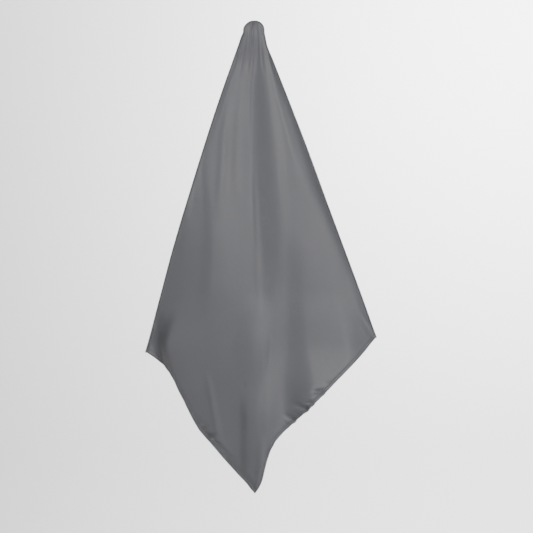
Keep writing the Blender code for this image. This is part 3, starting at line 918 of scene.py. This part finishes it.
def satin(name, colour, roughness):
    """Polyester satin: threads that float over seven and dip under one, so that the face is
    smooth with a soft sheen along the threads, and a little uneven in dye and in lustre."""
    finish = Finish(name)
    cut = finish.node("UVMap", {"uv_map": "cut"})
    turned = finish.node("Mapping", {}, {"Vector": cut, "Rotation": (0.0, 0.0, math.radians(45))})
    across_cut = finish.node("SeparateXYZ", {}, {"Vector": turned})
    along_cut = Value(finish, across_cut.socket.node.outputs[1])
    across = across_cut * THREADS
    along = along_cut * THREADS
    float_place = (across.floor() * SATIN_STEP + along.floor()) / SATIN_FLOAT
    dip = float_place.fraction().below(1.0 / SATIN_FLOAT)
    thread = (across * math.pi).sine().size()
    weave = thread * (1.0 - dip * SATIN_DIP)
    streak_place = finish.node("Mapping", {}, {"Vector": turned, "Scale": STREAK_GRAIN})
    streaks = finish.noise(streak_place, scale=1.0, detail=3.0, roughness=0.6)
    clouds = finish.noise(turned, scale=16.0, detail=3.0)
    rumples = finish.noise(turned, scale=130.0)
    dark = tuple(part * (1 - DYE_SPREAD) for part in colour) + (1.0,)
    light = tuple(part * (1 + DYE_SPREAD) for part in colour) + (1.0,)
    across_half = (across_cut - CLOTH_SIDE / 2).size()
    along_half = (along_cut + CLOTH_SIDE / 2).size()
    inset = CLOTH_SIDE / 2 - across_half.larger(along_half)
    sunk = (1.0 - (inset - STITCH_INSET).size() / STITCH_GROOVE).larger(0.0)
    edge_turn = (1.0 - inset / EDGE_ROUND).larger(0.0)
    gathers = finish.noise(turned, scale=160.0) * (1.0 - inset / GATHER_REACH).larger(0.0)
    hem_form = (0.0 - sunk * sunk) - edge_turn * edge_turn + gathers * 0.8
    hemmed = finish.bump(hem_form, HEM_DEPTH)
    rumpled = finish.bump(rumples, distance=0.0004, strength=0.35, normal=hemmed)
    finish.set(
        base_color=finish.mix(streaks * 0.5 + clouds * 0.5, dark, light),
        roughness=roughness + streaks * 0.06 + clouds * 0.06 - 0.06,
        specular_ior_level=0.6,
        sheen_weight=0.08,
        sheen_roughness=0.5,
        normal=finish.bump(weave, distance=0.00004, strength=0.6, normal=rumpled),
    )
    return finish.material


grey_satin = satin("grey_satin", colour=(0.193, 0.195, 0.2115), roughness=0.46)
cloth = new_piece("bandana_cloth", np.concatenate(points), faces, grey_satin, np.concatenate(flats))
thicken(cloth, CLOTH_WALL)
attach(cloth, "root")
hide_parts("cloth")


# The hems: on each side of the square the edge is turned 8 mm to the reverse. Below the peg two
# of them make the lower edge and two run up the free edges of the flaps.

HEM_WALL = 0.0008
GAP = 0.0003
# The row below the peg in which the upper hems begin
UPPER_HEM_START = 40
upper_rows = slice(len(cap_lifts) + UPPER_HEM_START, -HEM_STEPS)

grey_hem = satin("grey_satin_hem", colour=(0.180, 0.183, 0.196), roughness=0.50)
reverse_grid = sheet_points - outward(sheet_points) * (CLOTH_WALL / 2 + GAP + HEM_WALL / 2)


def make_hem(name, strip, flat_strip, node):
    """A turned hem: a strip of the cloth's own points, moved out on its reverse. Its ends are
    drawn in a little, clear of the next hem."""
    strip = strip.copy()
    for end, inner in ((0, 1), (-1, -2)):
        inwards = strip[inner] - strip[end]
        strip[end] += 2 * GAP * inwards / np.linalg.norm(inwards, axis=1, keepdims=True)
    rows, steps = strip.shape[:2]
    hem_faces = grid_faces(np.arange(rows * steps).reshape(rows, steps))
    hem = new_piece(name, strip.reshape(-1, 3), hem_faces, grey_hem, flat_strip.reshape(-1, 2))
    thicken(hem, HEM_WALL)
    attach(hem, "root")
    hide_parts(node)
    return hem


def make_hems():
    """The lower hems run along the last rows, and the upper ones along the outer columns."""
    lower = reverse_grid[-HEM_STEPS - 1 :].transpose(1, 0, 2)
    flat_lower = flat_sheet[-HEM_STEPS - 1 :].transpose(1, 0, 2)
    upper = reverse_grid[upper_rows]
    flat_upper = flat_sheet[upper_rows]
    left = slice(0, HEM_STEPS + 1)
    right = slice(-1, -HEM_STEPS - 2, -1)
    strips = (
        ("lower_left", lower[: bottom + 1], flat_lower[: bottom + 1]),
        ("lower_right", lower[bottom:], flat_lower[bottom:]),
        ("upper_left", upper[:, left], flat_upper[:, left]),
        ("upper_right", upper[:, right], flat_upper[:, right]),
    )
    return [
        make_hem("turned_hem_" + place, strip, flat, "hem_" + place)
        for place, strip, flat in strips
    ]


hems = make_hems()


# The stitching: one line of grey polyester thread round the cloth that holds the hems down. It
# is sewn by machine, a stitch each 3 mm, and shows on both faces.

STITCH_PITCH = 0.0030
STITCH_LENGTH = 0.0025
THREAD_WIDTH = 0.0006
THREAD_HEIGHT = 0.0004
STITCH_SIDES = 6
STITCH_RINGS = 4


def sewn_lines(table):
    """A grid's values along the stitch lines of the lower, left and right edges."""
    steps_in = STITCH_INSET / HEM_WIDTH * HEM_STEPS
    whole = int(steps_in)
    part = steps_in - whole
    lower_line = table[-1 - whole] * (1 - part) + table[-2 - whole] * part
    left_line = table[upper_rows, whole] * (1 - part) + table[upper_rows, whole + 1] * part
    right_line = table[upper_rows, -1 - whole] * (1 - part) + table[upper_rows, -2 - whole] * part
    return lower_line[HEM_STEPS:-HEM_STEPS], left_line, right_line


def stitch_places():
    """The middle of every stitch on both faces, the way along it and the way out of the face."""
    table = np.concatenate([sheet_points, outward(sheet_points)], axis=2)
    face = CLOTH_WALL / 2 + THREAD_HEIGHT / 4
    reverse = -(CLOTH_WALL / 2 + GAP + HEM_WALL + THREAD_HEIGHT / 4)
    middles, ways, outs = [], [], []
    for line in sewn_lines(table):
        lengths = np.linalg.norm(np.diff(line[:, :3], axis=0), axis=1)
        along = np.concatenate([[0], np.cumsum(lengths)])
        wanted = np.arange(STITCH_PITCH / 2, along[-1], STITCH_PITCH)
        even = np.stack([np.interp(wanted, along, values) for values in line.T], axis=1)
        way = np.gradient(even[:, :3], axis=0)
        for reach in (face, reverse):
            middles.append(even[:, :3] + even[:, 3:] * reach)
            ways.append(way)
            outs.append(even[:, 3:])
    return np.concatenate(middles), np.concatenate(ways), np.concatenate(outs)


def stitch_tree(thread):
    """Geometry Nodes that lay one rounded stitch on every point of a mesh."""
    tree = bpy.data.node_groups.new("hem_stitches", "GeometryNodeTree")
    tree.interface.new_socket("Places", in_out="INPUT", socket_type="NodeSocketGeometry")
    sizes = {}
    for title in ("Stitch Length", "Thread Width", "Thread Height"):
        made = tree.interface.new_socket(title, in_out="INPUT", socket_type="NodeSocketFloat")
        sizes[title] = made.identifier
    tree.interface.new_socket("Stitches", in_out="OUTPUT", socket_type="NodeSocketGeometry")
    given = tree.nodes.new("NodeGroupInput")
    result = tree.nodes.new("NodeGroupOutput")
    stitch = tree.nodes.new("GeometryNodeMeshUVSphere")
    stitch.inputs["Segments"].default_value = STITCH_SIDES
    stitch.inputs["Rings"].default_value = STITCH_RINGS
    stitch.inputs["Radius"].default_value = 0.5
    size = tree.nodes.new("ShaderNodeCombineXYZ")
    turn = tree.nodes.new("FunctionNodeAxesToRotation")
    turn.primary_axis = "X"
    turn.secondary_axis = "Z"
    way = tree.nodes.new("GeometryNodeInputNamedAttribute")
    out = tree.nodes.new("GeometryNodeInputNamedAttribute")
    for reader, title in ((way, "way"), (out, "out")):
        reader.data_type = "FLOAT_VECTOR"
        reader.inputs["Name"].default_value = title
    lay = tree.nodes.new("GeometryNodeInstanceOnPoints")
    realize = tree.nodes.new("GeometryNodeRealizeInstances")
    smooth = tree.nodes.new("GeometryNodeSetShadeSmooth")
    finish = tree.nodes.new("GeometryNodeSetMaterial")
    finish.inputs["Material"].default_value = thread
    for source, target in (
        (given.outputs["Stitch Length"], size.inputs["X"]),
        (given.outputs["Thread Width"], size.inputs["Y"]),
        (given.outputs["Thread Height"], size.inputs["Z"]),
        (way.outputs["Attribute"], turn.inputs["Primary Axis"]),
        (out.outputs["Attribute"], turn.inputs["Secondary Axis"]),
        (given.outputs["Places"], lay.inputs["Points"]),
        (stitch.outputs["Mesh"], lay.inputs["Instance"]),
        (turn.outputs["Rotation"], lay.inputs["Rotation"]),
        (size.outputs["Vector"], lay.inputs["Scale"]),
        (lay.outputs["Instances"], realize.inputs["Geometry"]),
        (realize.outputs["Geometry"], smooth.inputs["Geometry"]),
        (smooth.outputs["Geometry"], finish.inputs["Geometry"]),
        (finish.outputs["Geometry"], result.inputs["Stitches"]),
    ):
        tree.links.new(source, target)
    return tree, sizes


def grey_thread():
    """Twisted polyester thread, a shade lighter than the cloth."""
    finish = Finish("grey_thread")
    twist = finish.noise(finish.object_place(), scale=2400.0)
    finish.set(
        base_color=finish.mix(twist, (0.190, 0.193, 0.205, 1.0), (0.270, 0.273, 0.288, 1.0)),
        roughness=0.42 + twist * 0.12,
        normal=finish.bump(twist, distance=0.00008),
    )
    return finish.material


def sew_hems():
    """One mesh with every stitch of the four hems."""
    middles, ways, outs = stitch_places()
    mesh = bpy.data.meshes.new("hem_stitches")
    mesh.from_pydata(middles.tolist(), [], [])
    for title, vectors in (("way", ways), ("out", outs)):
        layer = mesh.attributes.new(title, "FLOAT_VECTOR", "POINT")
        layer.data.foreach_set("vector", vectors.astype(np.float32).ravel())
    sewn = bpy.data.objects.new("hem_stitches", mesh)
    bpy.context.scene.collection.objects.link(sewn)
    tree, sizes = stitch_tree(grey_thread())
    nodes = sewn.modifiers.new("stitches", "NODES")
    nodes.node_group = tree
    nodes[sizes["Stitch Length"]] = STITCH_LENGTH
    nodes[sizes["Thread Width"]] = THREAD_WIDTH
    nodes[sizes["Thread Height"]] = THREAD_HEIGHT
    apply_modifiers(sewn)
    return sewn


stitches = sew_hems()
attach(stitches, "root")


# The stage: a pale floor that curves up into a pale backdrop, well behind the peg.

FLOOR_HEIGHT = -2.1
FLOOR_FRONT = -1.5
BACKDROP_AT = 3.4
BACKDROP_TOP = 4.5
SWEEP_RADIUS = 0.8
SWEEP_STEPS = 25
STAGE_HALF_WIDTH = 7.0

profile = [(FLOOR_FRONT, FLOOR_HEIGHT)]
for turn in np.linspace(0, math.pi / 2, SWEEP_STEPS):
    y = BACKDROP_AT - SWEEP_RADIUS + SWEEP_RADIUS * math.sin(turn)
    profile.append((y, FLOOR_HEIGHT + SWEEP_RADIUS - SWEEP_RADIUS * math.cos(turn)))
profile.append((BACKDROP_AT, BACKDROP_TOP))
stage_points = [(x, y, z) for y, z in profile for x in (-STAGE_HALF_WIDTH, STAGE_HALF_WIDTH)]
stage_faces = [(2 * k, 2 * k + 1, 2 * k + 3, 2 * k + 2) for k in range(len(profile) - 1)]
paper = Finish("pale_paper")
grain = paper.noise(paper.object_place(), scale=40.0, detail=4.0)
paper.set(
    base_color=paper.mix(grain, (0.86, 0.86, 0.865, 1.0), (0.89, 0.89, 0.89, 1.0)),
    roughness=0.8,
    specular_ior_level=0.1,
)
sweep = new_piece("pale_sweep", stage_points, stage_faces, paper.material)


# The light: one large soft light from the upper right in front, a weak wide fill from the left,
# a light on the backdrop and a weak one from behind.

LOOK_AT = (0.02, -0.05, -0.45)
BACKDROP_LIT_AT = (0.8, 3.4, 0.1)


def soft_light(name, place, aim, width, power):
    """A square light at a place, turned to another place."""
    lamp = bpy.data.lights.new(name, "AREA")
    lamp.shape = "SQUARE"
    lamp.size = width
    lamp.energy = power
    holder = bpy.data.objects.new(name, lamp)
    holder.location = place
    way = np.array(aim) - np.array(place)
    flat = math.hypot(way[0], way[1])
    holder.rotation_euler = (math.atan2(flat, -way[2]), 0.0, math.atan2(-way[0], way[1]))
    bpy.context.scene.collection.objects.link(holder)


soft_light("key_light", (0.95, -3.0, 0.70), LOOK_AT, width=2.2, power=77.0)
soft_light("fill_light", (-2.4, -3.2, 0.2), LOOK_AT, width=2.6, power=21.0)
soft_light("backdrop_light", (1.5, 1.2, 1.0), BACKDROP_LIT_AT, width=1.1, power=380.0)
soft_light("rear_light", (-1.2, 3.1, 1.4), LOOK_AT, width=1.4, power=14.0)

# Past the stage the picture is pale too, but that adds no light to diffuse or glossy surfaces
world = bpy.data.worlds.new("pale_room")
world.use_nodes = True
world.node_tree.nodes["Background"].inputs["Color"].default_value = (0.86, 0.87, 0.89, 1.0)
world.node_tree.nodes["Background"].inputs["Strength"].default_value = 0.85
world.cycles_visibility.diffuse = False
world.cycles_visibility.glossy = False
bpy.context.scene.world = world


# The camera stands straight in front of the cloth at its middle height.

CAMERA_PLACE = (0.0233, -2.56, -0.457)
FOCAL_LENGTH = 87.2
SENSOR_WIDTH = 36.0

lens = bpy.data.cameras.new("camera")
lens.lens = FOCAL_LENGTH
lens.sensor_width = SENSOR_WIDTH
camera = bpy.data.objects.new("camera", lens)
camera.location = CAMERA_PLACE
camera.rotation_euler = (math.pi / 2, 0.0, 0.0)
bpy.context.scene.collection.objects.link(camera)
bpy.context.scene.camera = camera
